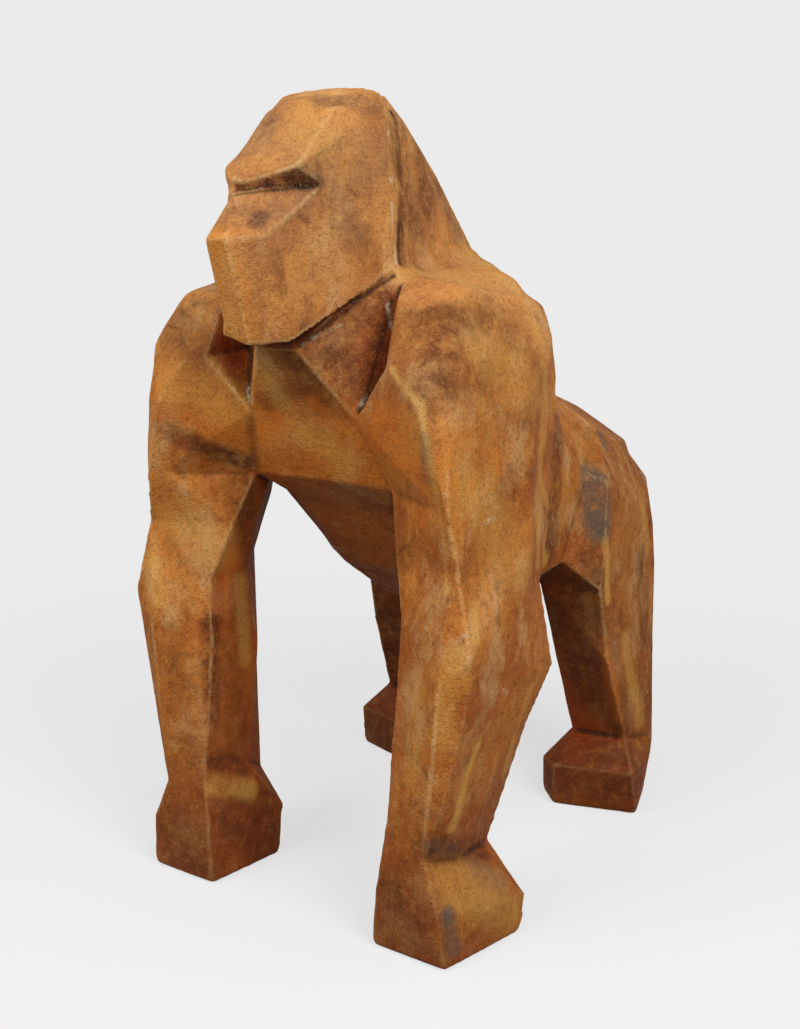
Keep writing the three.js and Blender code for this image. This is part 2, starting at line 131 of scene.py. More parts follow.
def islands(work):
    """The connected groups of a bmesh's vertices."""
    left = set(work.verts)
    groups = []
    while left:
        group, front = set(), [left.pop()]
        while front:
            vertex = front.pop()
            group.add(vertex)
            for edge in vertex.link_edges:
                other = edge.other_vert(vertex)
                if other in left:
                    left.remove(other)
                    front.append(other)
        groups.append(group)
    return groups


work = bmesh.new()
work.from_mesh(skin.data)
groups = sorted(islands(work), key=len)
crumbs = [vertex for group in groups[:-1] for vertex in group]
bmesh.ops.delete(work, geom=crumbs, context="VERTS")
work.to_mesh(skin.data)
work.free()
wear = skin.modifiers.new("worn edges", "SMOOTH")
wear.factor = WEAR_SHARE
wear.iterations = WEAR_ROUNDS
settled(skin)
print("skin of", len(skin.data.polygons), "faces,", len(crumbs), "loose points dropped")

# %% [markdown]
# The two halves of the solids mirror each other, and those of a hand-made figure don't quite. So a few
# places are pushed to where the photograph shows them: the far cheek under the brow is fuller, the far
# corner of the chin is higher, the shoulders have no dip behind them, the back is lower at the waist and
# the right shoulder is fuller in front. Each push fades out with the distance from a line between two
# places. The photograph also shows some places rounder than the rest: the top of the left shoulder has no
# edge at all, and the hood runs into the back without a crease. There the points are moved towards their
# neighbours, many times over, as with a rasp. The edges of the soles are rounded a little too. Each row
# has the two ends of its line, how far it reaches, and the move or the share of the rounding.

# %% Pushed and rounded places
PUSHED = [
    # far cheek and far corner of the chin
    ((-0.010, -0.236, 0.566), (-0.028, -0.216, 0.568), 0.020, (-0.0055, -0.0038, 0)),
    ((-0.010, -0.252, 0.456), (-0.017, -0.2435, 0.456), 0.020, (-0.003, -0.002, 0.006)),
    # behind the shoulders
    ((0.114, -0.057, 0.486), (0.123, -0.033, 0.473), 0.042, (0.0035, 0.002, 0.0045)),
    ((-0.114, -0.057, 0.486), (-0.123, -0.033, 0.473), 0.042, (-0.0035, 0.002, 0.0045)),
    # back at the waist
    ((0.072, 0.050, 0.405), (0.080, 0.090, 0.390), 0.050, (-0.002, 0, -0.008)),
    ((-0.072, 0.050, 0.405), (-0.080, 0.090, 0.390), 0.050, (0.002, 0, -0.008)),
    # front of the right shoulder
    ((-0.118, -0.178, 0.486), (-0.126, -0.195, 0.460), 0.032, (-0.0035, -0.0015, 0.0035)),
]
ROUNDED = [
    # left shoulder: front, back and the side below it
    ((0.116, -0.178, 0.488), (0.136, -0.203, 0.415), 0.050, 1.0),
    ((0.110, -0.100, 0.499), (0.123, -0.026, 0.478), 0.046, 1.0),
    ((0.142, -0.090, 0.456), (0.139, -0.040, 0.452), 0.030, 0.4),
    # right shoulder: back and front
    ((-0.110, -0.100, 0.499), (-0.123, -0.026, 0.478), 0.046, 1.0),
    ((-0.118, -0.178, 0.486), (-0.126, -0.195, 0.460), 0.026, 0.3),
    # far cheek and the middle line of the face
    ((-0.015, -0.238, 0.562), (-0.032, -0.218, 0.566), 0.016, 0.2),
    ((0, -0.256, 0.556), (0, -0.266, 0.541), 0.014, 0.15),
    # foot of the hood
    ((0.057, -0.138, 0.509), (0.053, -0.034, 0.518), 0.022, 0.6),
    ((-0.057, -0.138, 0.509), (-0.053, -0.034, 0.518), 0.022, 0.6),
]
ROUNDING_ROUNDS = 69
SOLE_HEIGHT = 0.008
SOLE_SHARE = 0.12
NO_LENGTH = 1e-12


def vectors(items, field):
    """A vector field of many mesh items as an array."""
    flat = np.empty(len(items) * 3, np.float32)
    items.foreach_get(field, flat)
    return flat.reshape(-1, 3)


def edge_ends(mesh):
    """The two points of each edge."""
    flat = np.empty(len(mesh.edges) * 2, np.int32)
    mesh.edges.foreach_get("vertices", flat)
    return flat.reshape(-1, 2)


def neighbours_mean(values, ends, rounds):
    """Values averaged over each point's neighbours, several times over."""
    count = len(values)
    share = np.maximum(np.bincount(ends.ravel(), minlength=count), 1)[:, None]
    for _ in range(rounds):
        sums = [
            np.bincount(ends[:, 0], values[ends[:, 1], k], count)
            + np.bincount(ends[:, 1], values[ends[:, 0], k], count)
            for k in range(values.shape[1])
        ]
        values = np.stack(sums, 1) / share
    return values


def nearness(places, start, stop, reach, core=0.0):
    """1 on the line between two places, falling smoothly to 0 at a reach from it."""
    along = stop - start
    share = np.clip(((places - start) @ along) / max(along @ along, NO_LENGTH), 0, 1)
    gap = np.linalg.norm(places - start - share[:, None] * along, axis=1) / reach
    near = np.clip((1 - gap) / (1 - core), 0, 1)
    return near * near * (3 - 2 * near)


points = vectors(skin.data.vertices, "co").astype(np.float64)
for start, stop, reach, move in PUSHED:
    points = points + nearness(points, np.array(start), np.array(stop), reach)[:, None] * np.array(move)
softness = np.zeros(len(points))
for start, stop, reach, share in ROUNDED:
    softness = np.maximum(softness, share * nearness(points, np.array(start), np.array(stop), reach))
softness = np.maximum(softness, SOLE_SHARE * np.clip(1 - points[:, 2] / SOLE_HEIGHT, 0, 1))
ends = edge_ends(skin.data)
chosen = np.unique(ends[(softness[ends] > 0).any(1)])
local = np.full(len(points), -1)
local[chosen] = np.arange(len(chosen))
local_ends = local[ends[(local[ends] >= 0).all(1)]]
patch, weight = points[chosen], softness[chosen][:, None]
for _ in range(ROUNDING_ROUNDS):
    patch = patch + weight * (neighbours_mean(patch, local_ends, 1) - patch)
moved = np.linalg.norm(patch - points[chosen], axis=1).max()
points[chosen] = patch
skin.data.vertices.foreach_set("co", points.astype(np.float32).ravel())
skin.data.update()
print(len(chosen), "points rounded by up to", round(moved * 1000, 1), "mm")

# %% [markdown]
# A cast and hand-finished face is never quite flat. A Geometry Nodes tree moves the skin along its
# normals by layers of noise: broad swells as left by the sculptor's tools, smaller dents, and the first
# of the grain. As the sizes are inputs of the tree, the same tree could finish another casting.

# %% Uneven cast surface
RELIEF_SIZES = {
    "Swell Size": 0.05,
    "Swell Height": 0.0008,
    "Dent Size": 0.014,
    "Dent Height": 0.0005,
    "Grain Size": 0.005,
    "Grain Height": 0.00025,
}


GRID_ACROSS, GRID_UP = 200, 160


def node(tree, kind, place, **settings):
    """A node of a tree at a grid place, with its settings."""
    made = tree.nodes.new(kind)
    made.location = (place[0] * GRID_ACROSS, place[1] * GRID_UP)
    for name, value in settings.items():
        setattr(made, name, value)
    return made


def relief_tree():
    """Moves a mesh along its normals by three layers of noise."""
    tree = bpy.data.node_groups.new("cast relief", "GeometryNodeTree")
    face = tree.interface
    face.new_socket("Geometry", in_out="INPUT", socket_type="NodeSocketGeometry")
    for name, value in RELIEF_SIZES.items():
        face.new_socket(name, in_out="INPUT", socket_type="NodeSocketFloat").default_value = value
    face.new_socket("Geometry", in_out="OUTPUT", socket_type="NodeSocketGeometry")
    start = node(tree, "NodeGroupInput", (0, 0))
    place = node(tree, "GeometryNodeInputPosition", (0, 2))
    total = None
    for row, layer in enumerate(("Swell", "Dent", "Grain")):
        scale = node(tree, "ShaderNodeMath", (1, row), operation="DIVIDE")
        scale.inputs[0].default_value = 1
        tree.links.new(start.outputs[f"{layer} Size"], scale.inputs[1])
        noise = node(tree, "ShaderNodeTexNoise", (2, row), noise_dimensions="3D")
        noise.inputs["Detail"].default_value = 2
        tree.links.new(place.outputs[0], noise.inputs["Vector"])
        tree.links.new(scale.outputs[0], noise.inputs["Scale"])
        centred = node(tree, "ShaderNodeMath", (3, row), operation="SUBTRACT")
        centred.inputs[1].default_value = 0.5
        tree.links.new(noise.outputs[0], centred.inputs[0])
        height = node(tree, "ShaderNodeMath", (4, row), operation="MULTIPLY")
        tree.links.new(centred.outputs[0], height.inputs[0])
        tree.links.new(start.outputs[f"{layer} Height"], height.inputs[1])
        if total is None:
            total = height
        else:
            added = node(tree, "ShaderNodeMath", (5, row), operation="ADD")
            tree.links.new(total.outputs[0], added.inputs[0])
            tree.links.new(height.outputs[0], added.inputs[1])
            total = added
    normal = node(tree, "GeometryNodeInputNormal", (5, 4))
    offset = node(tree, "ShaderNodeVectorMath", (6, 2), operation="SCALE")
    tree.links.new(normal.outputs[0], offset.inputs[0])
    tree.links.new(total.outputs[0], offset.inputs["Scale"])
    move = node(tree, "GeometryNodeSetPosition", (7, 0))
    tree.links.new(start.outputs["Geometry"], move.inputs["Geometry"])
    tree.links.new(offset.outputs[0], move.inputs["Offset"])
    real = node(tree, "GeometryNodeRealizeInstances", (8, 0))
    tree.links.new(move.outputs[0], real.inputs[0])
    end = node(tree, "NodeGroupOutput", (9, 0))
    tree.links.new(real.outputs[0], end.inputs[0])
    return tree


def sockets_of(tree):
    """The identifiers of a tree's inputs by name."""
    items = tree.interface.items_tree
    return {item.name: item.identifier for item in items if item.in_out == "INPUT"}


relief = skin.modifiers.new("cast relief", "NODES")
relief.node_group = relief_tree()
for name, identifier in sockets_of(relief.node_group).items():
    if name in RELIEF_SIZES:
        relief[identifier] = RELIEF_SIZES[name]
settled(skin)
print("relief over", len(skin.data.vertices), "points")

# %% [markdown]
# Handling leaves marks that follow the shape: ridges are rubbed bright, and the hollows get painted shade.
# How far a point stands above or below the average of its surroundings tells the two apart. A close
# average finds the sharp ridges, a wider one the hollows, and both are kept on the skin as attributes,
# which the coat's material reads later.

# %% Rubbed ridges, and hollows for painted shade
RIDGE_ROUNDS, RIDGE_HEIGHT = 2, 0.0003
HOLLOW_ROUNDS, HOLLOW_DEPTH = 10, 0.0012
MARKED = 0.5

marks = {}


def keep(name, values):
    """Stores one number for each point of the skin under a name."""
    marks[name] = values.astype(np.float32)
    skin.data.attributes.new(name, "FLOAT", "POINT").data.foreach_set("value", marks[name])


points = vectors(skin.data.vertices, "co")
normals = vectors(skin.data.vertex_normals, "vector")
ends = edge_ends(skin.data)


def rise(rounds):
    """How far each point stands above the average place of its surroundings."""
    return ((points - neighbours_mean(points, ends, rounds)) * normals).sum(1)


keep("ridge", np.clip(rise(RIDGE_ROUNDS) / RIDGE_HEIGHT, 0, 1))
# The hollows carry painted shade, near black, in the coat.
keep("hollow_shade", np.clip(-rise(HOLLOW_ROUNDS) / HOLLOW_DEPTH, 0, 1))
for name, values in marks.items():
    print(name, "on", round(float((values > MARKED).mean()), 3), "of the points")

# %% [markdown]
# The marks of this one sculpture are laid on as strokes: dark stains together with painted shade, orange
# patches of painted warm bounce light, golden patches, grey places, rubbed edges, painted shade in the
# creases and chips of pale filler. Each stroke joins two places read off the photograph and has a reach to
# each side in millimetres and a strength. A ray from the camera finds both ends on the skin, so the stroke
# sits on the surface and stays there from every side. It is full near its middle line, fades out past its
# reach, and marks only what faces the camera.

# %% Strokes of stains, wear, painted shade and painted bounce light
STROKES = {
    # Dark stains, and painted shade in the eye slit, beside the hood, on the throat, between the limbs, on
    # the far hind leg, low on the fists and on the flank behind the left arm.
    "stain_and_shade": [
        (455, 313, 485, 322, 12, 0.75), (415, 330, 470, 325, 20, 0.5), (495, 325, 515, 345, 20, 0.45),
        (428, 362, 440, 342, 5, 0.8), (240, 190, 316, 184, 5, 1.0), (262, 184, 300, 174, 6, 0.9),
        (394, 118, 402, 262, 5, 0.9), (398, 120, 410, 200, 9, 0.5), (251, 414, 255, 468, 4, 0.5),
        (275, 254, 283, 290, 4, 0.5), (300, 345, 392, 274, 3, 0.9), (255, 349, 292, 346, 3, 0.8),
        (430, 375, 520, 390, 30, 0.4), (195, 444, 245, 462, 8, 0.9), (172, 432, 200, 444, 7, 0.5),
        (520, 470, 490, 520, 11, 0.35), (490, 520, 462, 600, 11, 0.3), (212, 625, 214, 715, 9, 0.8),
        (215, 760, 243, 765, 9, 0.8), (430, 848, 478, 852, 12, 0.8), (255, 222, 262, 216, 5, 0.8),
        (420, 150, 425, 200, 16, 0.7), (440, 190, 455, 225, 16, 0.6), (235, 345, 240, 400, 9, 0.7),
        (385, 300, 375, 360, 10, 0.8), (330, 395, 350, 405, 14, 0.5), (400, 500, 405, 560, 10, 0.5),
        (265, 800, 270, 850, 12, 0.7), (170, 855, 210, 870, 9, 0.6), (385, 930, 410, 955, 12, 0.5),
        (590, 560, 600, 640, 12, 0.6), (640, 560, 645, 640, 10, 0.5), (605, 700, 620, 730, 14, 0.6),
        (600, 770, 635, 775, 9, 0.5), (475, 330, 540, 400, 26, 0.35), (360, 240, 370, 260, 10, 0.5),
        (240, 490, 250, 560, 14, 0.8), (243, 580, 238, 640, 12, 0.7), (226, 650, 236, 740, 14, 0.6),
        (235, 815, 265, 845, 20, 0.7), (172, 825, 200, 855, 20, 0.5), (390, 900, 420, 945, 20, 0.5),
        (398, 130, 415, 240, 14, 0.6), (312, 346, 385, 300, 12, 0.7), (320, 370, 365, 392, 14, 0.5),
        (265, 402, 305, 386, 8, 0.6), (302, 367, 328, 400, 9, 0.6), (440, 325, 450, 370, 20, 0.75),
        (560, 610, 590, 690, 20, 0.5), (250, 188, 300, 178, 7, 1.0), (300, 176, 317, 182, 5, 1.0),
        (550, 772, 622, 792, 24, 0.8), (560, 750, 620, 755, 18, 0.65), (566, 590, 590, 690, 24, 0.75),
        (380, 600, 390, 690, 26, 0.8), (365, 715, 388, 738, 26, 0.7), (305, 352, 370, 388, 22, 0.75),
        (165, 505, 200, 550, 22, 0.3), (165, 650, 195, 735, 20, 0.35), (545, 600, 560, 640, 16, 0.6),
        (558, 422, 557, 440, 13, 0.6), (557, 440, 556, 458, 13, 0.75), (556, 458, 555, 480, 13, 0.75),
        (555, 480, 553, 510, 13, 0.75), (553, 510, 550, 540, 13, 0.75), (550, 540, 547, 560, 13, 0.7),
        (322, 101, 372, 104, 9, 0.45), (310, 500, 388, 565, 30, 0.35), (175, 330, 200, 345, 14, 0.5),
        (470, 895, 505, 905, 10, 0.45), (575, 610, 590, 680, 12, 0.45),
    ],
    # Painted warm bounce light, orange, on the chest, belly, face and the insides of the limbs.
    "painted_bounce": [
        (262, 415, 385, 440, 26, 0.8), (172, 395, 240, 425, 22, 0.7), (300, 490, 388, 560, 30, 0.7),
        (603, 640, 618, 720, 5, 0.8), (232, 560, 240, 640, 10, 0.6), (300, 455, 385, 480, 16, 0.6),
        (400, 420, 425, 520, 14, 0.4), (218, 255, 232, 330, 14, 0.8), (225, 640, 232, 740, 10, 0.5),
    ],
    "gold": [
        (392, 370, 420, 406, 3, 0.7), (420, 406, 427, 444, 3, 0.7), (428, 450, 446, 590, 3, 0.6),
        (478, 745, 452, 828, 4, 0.8), (474, 605, 476, 640, 4, 0.8), (212, 360, 248, 408, 4, 0.7),
        (255, 350, 280, 400, 10, 0.6), (606, 540, 608, 600, 5, 0.8), (540, 480, 545, 560, 6, 0.7),
        (470, 255, 510, 280, 14, 0.6), (300, 120, 320, 140, 12, 0.45), (300, 428, 330, 440, 9, 0.6),
        (172, 385, 235, 405, 16, 0.5), (300, 430, 345, 462, 12, 0.5), (150, 560, 160, 600, 8, 0.6),
        (218, 250, 232, 330, 14, 0.4), (455, 655, 440, 740, 8, 0.5), (420, 690, 410, 780, 8, 0.35),
        (625, 640, 640, 720, 8, 0.5), (185, 520, 215, 545, 18, 0.45), (240, 580, 245, 660, 6, 0.5),
        (535, 330, 543, 440, 8, 0.5), (541, 450, 538, 560, 7, 0.5), (405, 275, 500, 283, 12, 0.4),
        (455, 890, 510, 915, 16, 0.5), (475, 490, 520, 570, 20, 0.45), (485, 350, 535, 390, 18, 0.3),
        (530, 690, 505, 770, 6, 0.5), (640, 500, 648, 545, 6, 0.5), (440, 875, 500, 880, 12, 0.4),
        (215, 785, 250, 790, 8, 0.6),
    ],
    "grey": [
        (592, 480, 600, 525, 15, 0.95), (602, 438, 604, 442, 8, 0.9), (448, 915, 454, 950, 6, 0.9),
        (255, 215, 300, 196, 10, 0.35), (250, 138, 308, 146, 24, 0.3), (322, 101, 372, 105, 9, 0.3),
        (245, 345, 290, 343, 4, 0.5), (425, 440, 428, 480, 5, 0.5), (335, 150, 375, 162, 20, 0.3),
        (430, 272, 500, 288, 12, 0.25), (330, 190, 350, 230, 12, 0.25), (480, 870, 500, 880, 9, 0.4),
        (430, 848, 455, 850, 6, 0.6),
    ],
    "rubbed": [
        (228, 262, 234, 330, 7, 0.4), (318, 188, 272, 233, 1.5, 0.6), (270, 235, 226, 242, 1.6, 0.6),
        (246, 181, 296, 165, 1.4, 0.4),
        (299, 163, 334, 108, 1.6, 0.6), (298, 167, 322, 182, 1.2, 0.3), (240, 246, 242, 335, 1.8, 0.3),
        (252, 343, 293, 339, 1.4, 0.7), (295, 338, 393, 266, 1.6, 0.7), (385, 108, 395, 262, 1.6, 0.7),
        (392, 370, 420, 406, 1.8, 0.8), (420, 406, 427, 444, 1.8, 0.7), (428, 450, 446, 590, 1.4, 0.6),
        (446, 590, 440, 700, 1.2, 0.5), (438, 705, 422, 850, 1.2, 0.5), (425, 862, 443, 960, 1.2, 0.4),
        (213, 362, 248, 410, 1.2, 0.7), (296, 350, 362, 418, 1.2, 0.5), (364, 412, 372, 402, 1.2, 0.6),
        (524, 340, 525, 470, 1.6, 0.4), (545, 540, 548, 660, 1.2, 0.4), (606, 530, 608, 600, 1.4, 0.5),
    ],
    # Painted shade along the creases, near black.
    "crease_shade": [
        (391, 112, 400, 264, 1.6, 0.9), (236, 195, 318, 185, 1.2, 0.8), (249, 378, 251, 408, 1.2, 0.7),
        (392, 300, 364, 404, 1.4, 0.7), (300, 346, 394, 276, 1.6, 0.8), (430, 850, 484, 846, 1.5, 0.5),
        (568, 738, 640, 740, 1.4, 0.6),
    ],
    "chip": [
        (388, 130, 391, 180, 1.6, 0.9), (392, 200, 396, 262, 1.6, 0.6), (238, 192, 262, 188, 0.8, 0.4),
        (248, 380, 250, 408, 1.5, 0.9), (388, 305, 392, 330, 1.5, 0.8), (360, 405, 366, 398, 1.5, 0.8),
        (480, 525, 492, 519, 1.2, 0.8), (503, 690, 507, 693, 1.4, 0.8), (458, 640, 466, 637, 1.2, 0.7),
        (300, 345, 340, 325, 1.3, 0.5), (232, 342, 262, 345, 1.3, 0.5),
    ],
}
MILLIMETRE = 0.001
SEEN_SIDE = -0.1
FEATHER = 1.7
CORE = 0.25
COVERED = 0.2

surface = BVHTree.FromObject(skin, bpy.context.evaluated_depsgraph_get())
towards_camera = np.array(CAMERA_PLACE) - points
towards_camera /= np.linalg.norm(towards_camera, axis=1)[:, None]
seen = (towards_camera * normals).sum(1) > SEEN_SIDE


def hit(across, down):
    """Where the sight through a place in the photograph meets the skin."""
    place = surface.ray_cast(CAMERA_PLACE, sight(across, down))[0]
    return None if place is None else np.array(place)


def stroke_cover(start, stop, reach):
    """How much each point is covered by a stroke: 1 along it, fading to 0 past its reach."""
    return nearness(points, start, stop, FEATHER * reach, CORE) * seen


for kind, strokes in STROKES.items():
    cover = np.zeros(len(points))
    missed = 0
    for across, down, across_to, down_to, reach, strength in strokes:
        start, stop = hit(across, down), hit(across_to, down_to)
        if start is None or stop is None:
            missed += 1
            continue
        cover = np.maximum(cover, strength * stroke_cover(start, stop, reach * MILLIMETRE))
    keep(kind, cover)
    print(kind, "on", round(float((cover > COVERED).mean()), 3), "of the points,", missed, "strokes missed")

# %% [markdown]
# Under the belly, behind the chin and between the limbs the coat gets painted shade, darker and redder. So
# rays go out from every few points, and the share that meets the figure or the ground close by says how
# sheltered the place is. The points between get the average of their neighbours.

# %% Painted shade in sheltered places
RAYS = 40
GOLDEN_TURN = 2.399963
SHELTER_STEP = 12
SHELTER_REACH = 0.30
GROUND_SHARE = 0.5
START_GAP = 0.003
GRAZING = 0.15
SPREAD_ROUNDS = 8
NO_SAMPLE = 1e-6

turn = np.arange(RAYS) * GOLDEN_TURN
height = 1 - (2 * np.arange(RAYS) + 1) / RAYS
around = np.sqrt(1 - height**2)
rays = np.stack([around * np.cos(turn), around * np.sin(turn), height], 1)
sampled = np.zeros((len(points), 2))
for index in range(0, len(points), SHELTER_STEP):
    start = points[index] + START_GAP * normals[index]
    open_rays = rays[rays @ normals[index] > GRAZING]
    blocked = 0.0
    for ray in open_rays:
        if surface.ray_cast(start, ray, SHELTER_REACH)[0] is not None:
            blocked += 1
        elif start[2] + SHELTER_REACH * ray[2] < 0:
            blocked += GROUND_SHARE
    sampled[index] = blocked / len(open_rays), 1
spread = neighbours_mean(sampled, ends, SPREAD_ROUNDS)
keep("shelter_shade", spread[:, 0] / np.maximum(spread[:, 1], NO_SAMPLE))
print("shelter_shade", np.percentile(marks["shelter_shade"], (5, 25, 50, 75, 95)).round(2))

# %% [markdown]
# The coat is one material for all the castings. Noise at seven sizes, from clouds down to grain, gives the
# rust its pattern. It gets paler towards the top, and darker towards the ground and the rump. The attributes
# lay painted shade in sheltered places and hollows, the strokes and the rubbed ridges over it, and a ragged
# mix of two of the noises breaks up most of the strokes. The noise reads Object coordinates, so the pattern
# runs on from casting to casting without a break at a joint.

# %% Rust coat


def colour(red, green, blue):
    """A colour written as on a screen, for a shader."""
    parts = [value / 255 for value in (red, green, blue)]
    return [p / 12.92 if p <= 0.04045 else ((p + 0.055) / 1.055) ** 2.4 for p in parts] + [1]


class Finish:
    """A material whose layers are added one after another."""

    def __init__(self, name):
        self.material = bpy.data.materials.new(name)
        self.material.use_nodes = True
        self.tree = self.material.node_tree
        self.shader = self.tree.nodes["Principled BSDF"]
        self.place = node(self.tree, "ShaderNodeTexCoord", (-9, 0)).outputs["Object"]
        self.row = 0

    def put(self, kind, column, **settings):
        """A new node on a row of its own."""
        self.row += 1
        return node(self.tree, kind, (column, -self.row), **settings)

    def noise(self, size, detail=4, rough=0.6, stretch=None, twist=0):
        """Noise with features of a size in metres, drawn out along an axis by stretch."""
        where = self.place
        if stretch:
            mapping = self.put("ShaderNodeMapping", -8)
            mapping.inputs["Scale"].default_value = stretch
            self.tree.links.new(where, mapping.inputs["Vector"])
            where = mapping.outputs[0]
        made = self.put("ShaderNodeTexNoise", -7, noise_dimensions="3D")
        settings = {"Scale": 1 / size, "Detail": detail, "Roughness": rough, "Distortion": twist}
        for name, value in settings.items():
            made.inputs[name].default_value = value
        self.tree.links.new(where, made.inputs["Vector"])
        return made.outputs["Fac"]

    def attribute(self, name):
        """A number that the points of the mesh carry."""
        return self.put("ShaderNodeAttribute", -7, attribute_name=name).outputs["Fac"]

    def along(self, axis):
        """The place along an axis of the frame: Z is the height, Y goes towards the rump."""
        parts = self.put("ShaderNodeSeparateXYZ", -7)
        self.tree.links.new(self.place, parts.inputs[0])
        return parts.outputs[axis]

    def step(self, value, low, high, most=1.0, least=0.0):
        """A soft step from least to most as a value goes from low to high."""
        made = self.put("ShaderNodeMapRange", -5, interpolation_type="SMOOTHSTEP")
        for name, number in (("From Min", low), ("From Max", high), ("To Min", least), ("To Max", most)):
            made.inputs[name].default_value = number
        self.tree.links.new(value, made.inputs["Value"])
        return made.outputs["Result"]

    def math(self, operation, first, second):
        """A sum, a product or the like of two numbers or sockets."""
        made = self.put("ShaderNodeMath", -4, operation=operation)
        for socket, value in zip(made.inputs, (first, second)):
            if isinstance(value, (int, float)):
                socket.default_value = value
            else:
                self.tree.links.new(value, socket)
        return made.outputs[0]

    def over(self, under, top, share):
        """A colour laid over another by a share."""
        made = self.put("ShaderNodeMix", -2, data_type="RGBA", blend_type="MIX")
        for name, value in (("Factor_Float", share), ("A_Color", under), ("B_Color", top)):
            socket = next(s for s in made.inputs if s.identifier == name)
            if isinstance(value, (list, int, float)):
                socket.default_value = value
            else:
                self.tree.links.new(value, socket)
        return next(s for s in made.outputs if s.identifier == "Result_Color")

    def bump(self, value, distance, strength, under=None):
        """Fine relief from a value, with a height in metres, on top of another."""
        made = self.put("ShaderNodeBump", -1)
        made.inputs["Strength"].default_value = strength
        made.inputs["Distance"].default_value = distance
        self.tree.links.new(value, made.inputs["Height"])
        if under:
            self.tree.links.new(under, made.inputs["Normal"])
        return made.outputs[0]


ORANGE_BROWN = colour(186, 114, 46)
RED_BROWN = colour(154, 82, 33)
DARK_BROWN = colour(80, 34, 13)
NEAR_BLACK = colour(36, 18, 9)
# Painted shade, for sheltered places.
PAINTED_SHADE_RED = colour(152, 58, 14)
# Painted warm bounce light, for shaded fronts.
PAINTED_BOUNCE_ORANGE = colour(208, 112, 34)
OCHRE = colour(211, 160, 76)
TAN = colour(202, 160, 106)
SLATE = colour(94, 78, 66)
CHALK = colour(206, 190, 160)
WORN = colour(220, 184, 124)


def rust_coat():
    """The rust of the castings, from the broad clouds up to the finest grain."""
    coat = Finish("rust_coat")
    clouds = coat.noise(0.060, 5, 0.6)
    patches = coat.noise(0.028, 6, 0.66, twist=0.6)
    brushed = coat.noise(0.042, 6, 0.68, stretch=(1.2, 1.2, 0.75))
    streaks = coat.noise(0.006, 4, 0.65, stretch=(1.1, 1.1, 0.7))
    flecks = coat.noise(0.008, 5, 0.7)
    grain = coat.noise(0.0014, 2, 0.6)
    pores = coat.noise(0.0028, 3, 0.65)
    ragged = coat.math("ADD", coat.math("MULTIPLY", patches, 0.55), coat.math("MULTIPLY", flecks, 0.45))
    high = coat.step(coat.along("Z"), 0.05, 0.24, 1.0, 0.35)
    look = coat.over(RED_BROWN, ORANGE_BROWN, coat.step(clouds, 0.38, 0.58))
    look = coat.over(look, TAN, coat.step(coat.along("Z"), 0.36, 0.52, 0.25))
    look = coat.over(look, RED_BROWN, coat.step(coat.along("Z"), 0.34, 0.12, 0.45))
    look = coat.over(look, DARK_BROWN, coat.step(coat.along("Z"), 0.18, 0.04, 0.45))
    look = coat.over(look, DARK_BROWN, coat.step(coat.along("Y"), 0.02, 0.16, 0.35))
    look = coat.over(look, TAN, coat.math("MULTIPLY", high, coat.step(brushed, 0.47, 0.66, 0.55)))
    look = coat.over(look, DARK_BROWN, coat.step(patches, 0.53, 0.72, 0.5))
    look = coat.over(look, OCHRE, coat.step(streaks, 0.52, 0.72, 0.25))
    look = coat.over(look, DARK_BROWN, coat.step(streaks, 0.46, 0.26, 0.3))
    look = coat.over(look, DARK_BROWN, coat.step(flecks, 0.54, 0.72, 0.4))
    look = coat.over(look, OCHRE, coat.step(flecks, 0.45, 0.28, 0.25))
    # Painted shade, darker and redder, in sheltered places.
    look = coat.over(look, PAINTED_SHADE_RED, coat.step(coat.attribute("shelter_shade"), 0.1, 0.65, 0.75))
    # Strokes of dark stains with painted shade, and orange strokes of painted warm bounce light, go on here.
    layers = ("painted_bounce", PAINTED_BOUNCE_ORANGE, 0.9), ("stain_and_shade", DARK_BROWN, 1.0), ("gold", OCHRE, 0.8), ("grey", SLATE, 1.0)
    for name, tint, most in layers:
        broken = coat.math("MULTIPLY", coat.attribute(name), coat.step(ragged, 0.38, 0.58, 1.0, 0.4))
        look = coat.over(look, tint, coat.math("MULTIPLY", broken, most))
    worn = coat.step(ragged, 0.40, 0.6, 0.38, 0.05)
    worn = coat.math("MULTIPLY", worn, coat.step(coat.attribute("ridge"), 0.3, 1.0))
    look = coat.over(look, WORN, coat.math("MULTIPLY", worn, high))
    rubbed = coat.math("MULTIPLY", coat.attribute("rubbed"), coat.step(ragged, 0.40, 0.56, 0.38, 0.08))
    look = coat.over(look, WORN, rubbed)
    # Painted shade in the hollows, near black.
    look = coat.over(look, NEAR_BLACK, coat.step(coat.attribute("hollow_shade"), 0.15, 0.9, 0.85))
    # Painted shade along the creases, near black.
    look = coat.over(look, NEAR_BLACK, coat.attribute("crease_shade"))
    chips = coat.math("MULTIPLY", coat.attribute("chip"), coat.step(flecks, 0.42, 0.6))
    look = coat.over(look, CHALK, coat.math("MULTIPLY", chips, 0.85))
    look = coat.over(look, DARK_BROWN, coat.step(pores, 0.52, 0.70, 0.5))
    look = coat.over(look, OCHRE, coat.math("MULTIPLY", high, coat.step(grain, 0.54, 0.72, 0.28)))
    look = coat.over(look, NEAR_BLACK, coat.step(grain, 0.45, 0.26, 0.45))
    coat.tree.links.new(look, coat.shader.inputs["Base Color"])
    coat.tree.links.new(coat.step(flecks, 0.3, 0.7, 0.8, 0.58), coat.shader.inputs["Roughness"])
    coat.shader.inputs["Specular IOR Level"].default_value = 0.12
    grain_relief = coat.bump(grain, 0.0008, 0.6)
    coat.tree.links.new(coat.bump(pores, 0.0012, 0.6, grain_relief), coat.shader.inputs["Normal"])
    return coat.material


RUST_COAT = rust_coat()
print("rust coat of", len(RUST_COAT.node_tree.nodes), "nodes")

# %% [markdown]
# The castings are now cut from the skin where those of the solid model meet: level cuts at shoulder,
# wrist, hip and ankle, an upright one at the waist, and slanted ones under the jaw and round the neck.
# Booleans with simple blocks leave every casting closed. Because neighbours come from one skin, they meet
# without a step, and the skin's normals, kept as an attribute, hide the cut in the shading too.

